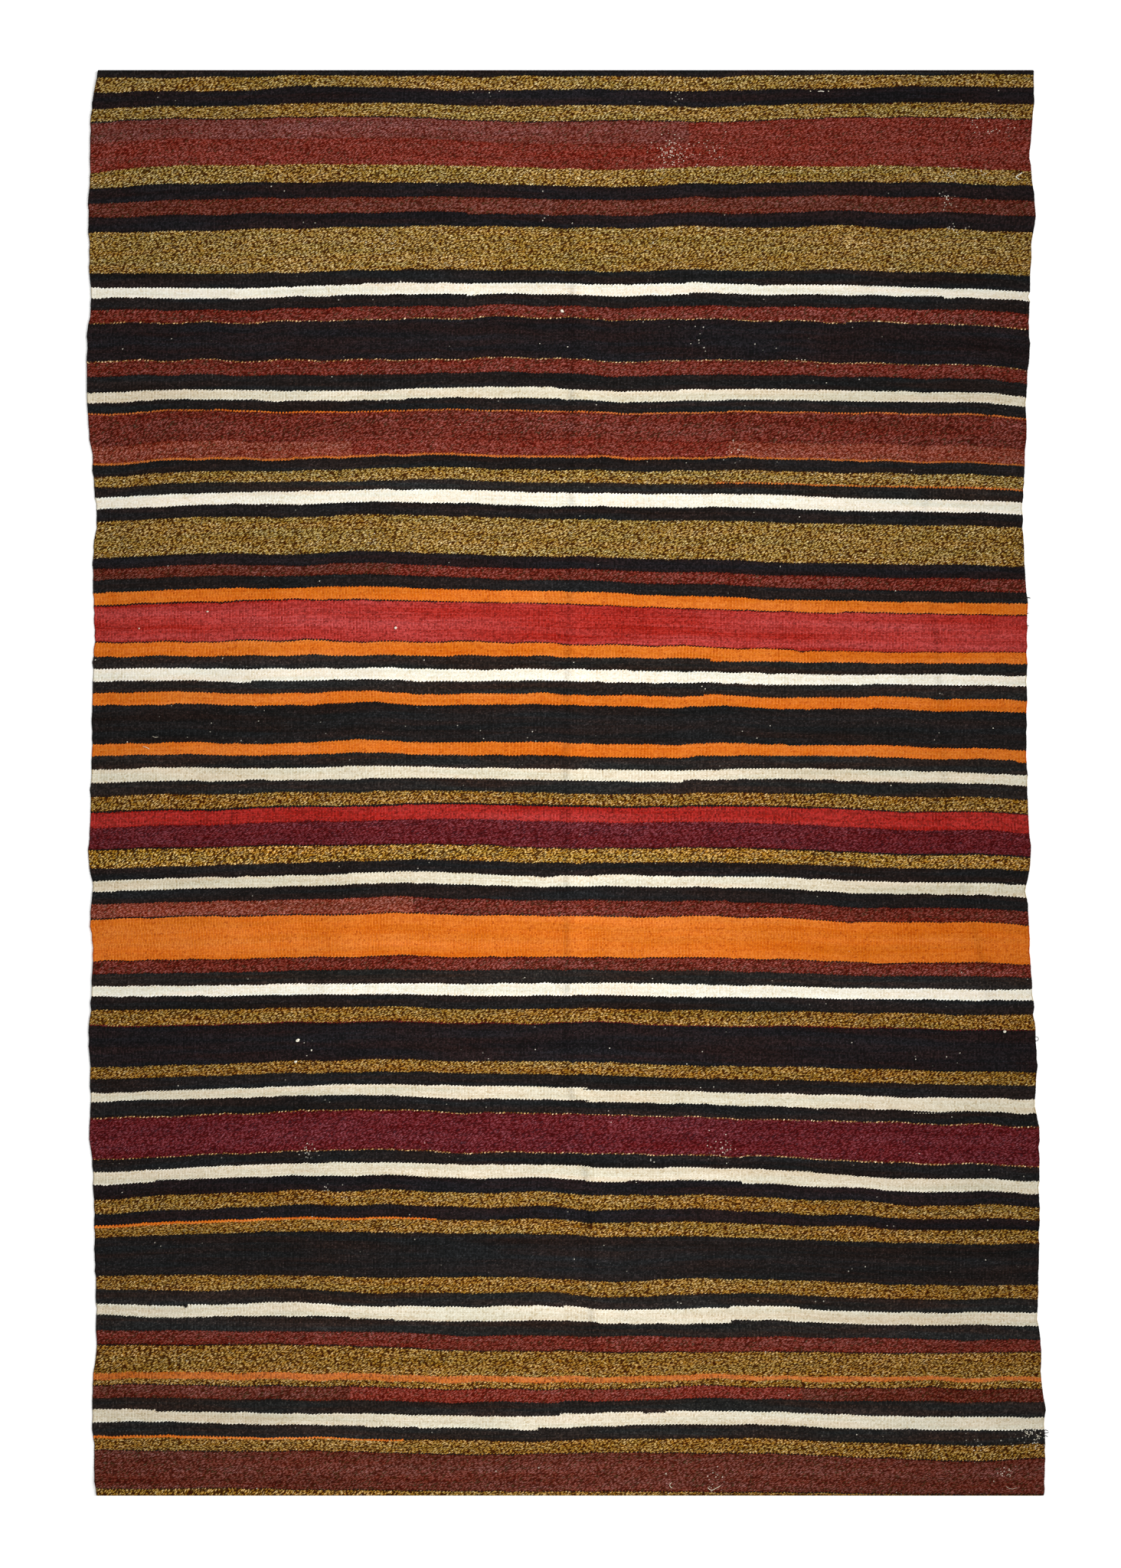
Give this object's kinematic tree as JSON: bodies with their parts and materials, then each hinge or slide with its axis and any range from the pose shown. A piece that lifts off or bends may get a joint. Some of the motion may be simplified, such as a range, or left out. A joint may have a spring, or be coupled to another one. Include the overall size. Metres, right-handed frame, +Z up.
{
  "type": "turkish kilim",
  "caption": "Flat-woven wool kilim rug with uneven stripes across its width, wavering selvedges and plain turned-under ends, lying flat.",
  "frame": {"origin": "under the middle of the rug, on the surface that it lies on", "axes": "+Y along the rug's length, +X across it along the weft, +Z up"},
  "size_m": [1.75, 2.606, 0.0051],
  "materials": {
    "kilim_wool": "matt hand-spun wool, weft-faced, in stripes of black, gold marl, brick marl, wine, cream, orange and red"
  },
  "bodies": {
    "root": {"kilim": "kilim_wool"}
  },
  "joints": []
}
